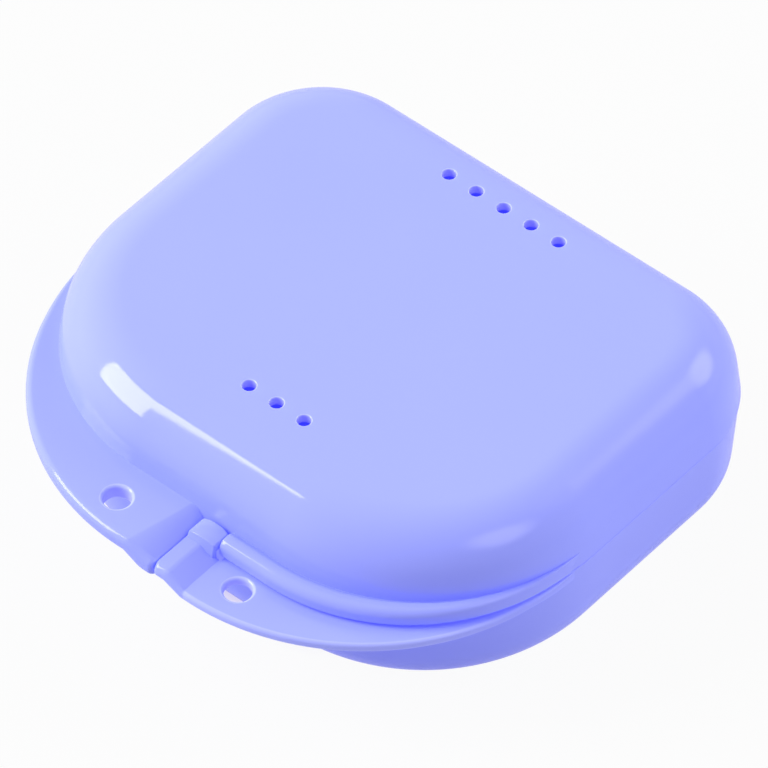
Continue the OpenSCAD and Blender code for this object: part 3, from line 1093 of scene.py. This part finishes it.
def stage():
    """White floor under the case, which keeps a faint shadow and has a painted coloured shade along the
    front of the base.
    """
    bm = bmesh.new()
    bmesh.ops.create_grid(bm, x_segments=1, y_segments=1, size=FLOOR_SIZE / 2)
    mesh = bpy.data.meshes.new("floor")
    bm.to_mesh(mesh)
    bm.free()
    floor = bpy.data.objects.new("floor", mesh)
    bpy.context.scene.collection.objects.link(floor)
    material = bpy.data.materials.new("white_floor")
    nodes, links, shader = shader_nodes(material)
    shader.inputs["Base Color"].default_value = (FLOOR_TONE, FLOOR_TONE, FLOOR_TONE, 1)
    shader.inputs["Roughness"].default_value = FLOOR_ROUGHNESS
    glow = nodes.new("ShaderNodeEmission")
    links.new(painted_lip_shade(nodes, links), glow.inputs["Color"])
    share = spread(nodes, links, seen_white(nodes, links, FLOOR_IN_GLOSS), 0.0, FLOOR_GLOW)
    both = nodes.new("ShaderNodeMixShader")
    links.new(share, both.inputs[0])
    links.new(shader.outputs[0], both.inputs[1])
    links.new(glow.outputs[0], both.inputs[2])
    links.new(both.outputs[0], nodes["Material Output"].inputs["Surface"])
    mesh.materials.append(material)


def room_glow(nodes, links, way, side, narrow, strength):
    """Light of the room on one side, which fades away from it."""
    lean = nodes.new("ShaderNodeVectorMath")
    lean.operation = "DOT_PRODUCT"
    lean.inputs[1].default_value = direction(*side)
    links.new(way.outputs["Generated"], lean.inputs[0])
    near = nodes.new("ShaderNodeMapRange")
    near.inputs["From Min"].default_value = -1.0
    links.new(lean.outputs["Value"], near.inputs["Value"])
    fade = nodes.new("ShaderNodeMath")
    fade.operation = "POWER"
    fade.inputs[1].default_value = narrow
    links.new(near.outputs["Result"], fade.inputs[0])
    return spread(nodes, links, fade.outputs[0], 0.0, strength)


def world():
    """White surroundings, whose light is strongest on the lit sides of the room."""
    sky = bpy.data.worlds.new("studio")
    bpy.context.scene.world = sky
    sky.use_nodes = True
    nodes = sky.node_tree.nodes
    links = sky.node_tree.links
    back = nodes["Background"]
    way = nodes.new("ShaderNodeTexCoord")
    total = nodes.new("ShaderNodeMath")
    for i, (side, narrow, strength) in enumerate(ROOM_SIDES):
        links.new(room_glow(nodes, links, way, side, narrow, strength), total.inputs[i])
    level = nodes.new("ShaderNodeMix")
    level.data_type = "FLOAT"
    level.inputs[3].default_value = 1.0
    links.new(seen_white(nodes, links, ROOM_IN_GLOSS), level.inputs[0])
    links.new(total.outputs[0], level.inputs[2])
    links.new(level.outputs[0], back.inputs["Strength"])
    back.inputs["Color"].default_value = WHITE


def direction(azimuth, elevation):
    """Unit vector at an angle round from +X and an angle above the floor, in degrees."""
    turn = radians(azimuth)
    rise = radians(elevation)
    return Vector((cos(turn) * cos(rise), sin(turn) * cos(rise), sin(rise)))


def lamp(name, spot, face, size, level, roll=0.0, shape="RECTANGLE"):
    """Soft lamp at a place, shining along a direction, as bright as a white surface times its level."""
    data = bpy.data.lights.new(name, "AREA")
    data.shape = shape
    data.size, data.size_y = size
    data.energy = LAMP_POWER * size[0] * size[1] * level
    obj = bpy.data.objects.new(name, data)
    bpy.context.scene.collection.objects.link(obj)
    obj.location = spot
    turn = face.to_track_quat("-Z", "Y").to_matrix() @ Matrix.Rotation(radians(roll), 3, "Z")
    obj.rotation_euler = turn.to_euler()


def lamps():
    """Softbox in front on the left, and dim round lamps on the right and behind, made soft by rings."""
    lamp("key_softbox", Vector(KEY_PLACE), Vector(KEY_FACE), KEY_SIZE, KEY_LEVEL, KEY_ROLL)
    for name, angles, rings, level in ROUND_LAMPS:
        spot = direction(*angles)
        for i, size in enumerate(rings):
            lamp(name, spot * (1 - LAMP_STEP * i), -spot, (size, size), level, shape="ELLIPSE")


def camera():
    """Long lens at the photograph's viewing angle."""
    azimuth = radians(CAMERA_AZIMUTH)
    elevation = radians(CAMERA_ELEVATION)
    right = Vector((cos(azimuth), sin(azimuth), 0))
    forward = Vector((-sin(azimuth) * cos(elevation), cos(azimuth) * cos(elevation), -sin(elevation)))
    up = right.cross(forward)
    aim = Vector(CAMERA_AIM) + right * CAMERA_SHIFT[0] + up * CAMERA_SHIFT[1]
    data = bpy.data.cameras.new("camera")
    data.lens = CAMERA_LENS
    data.sensor_width = CAMERA_SENSOR
    data.clip_end = CAMERA_SIGHT
    obj = bpy.data.objects.new("camera", data)
    bpy.context.scene.collection.objects.link(obj)
    obj.location = (aim - forward * CAMERA_DISTANCE) * MM
    obj.rotation_euler = forward.to_track_quat("-Z", "Y").to_euler()
    bpy.context.scene.camera = obj


def main():
    """Makes the case and its studio."""
    plastic = gloss_plastic()
    holes = {name: Vector(mounts[name]["pos_m"]) / MM for name in ("lid_cord_hole", "base_cord_hole")}
    for half in (BASE, LID):
        hole = holes[half.body + "_cord_hole"]
        flat_hole = Vector((abs(hole.x), hole.y))
        shell(half, plastic)
        lip(half, flat_hole, plastic)
        rim(half, plastic)
    hook(plastic)
    ledge(plastic)
    hinges(plastic)
    stage()
    world()
    lamps()
    camera()
    bpy.context.scene.view_settings.view_transform = "Standard"


main()
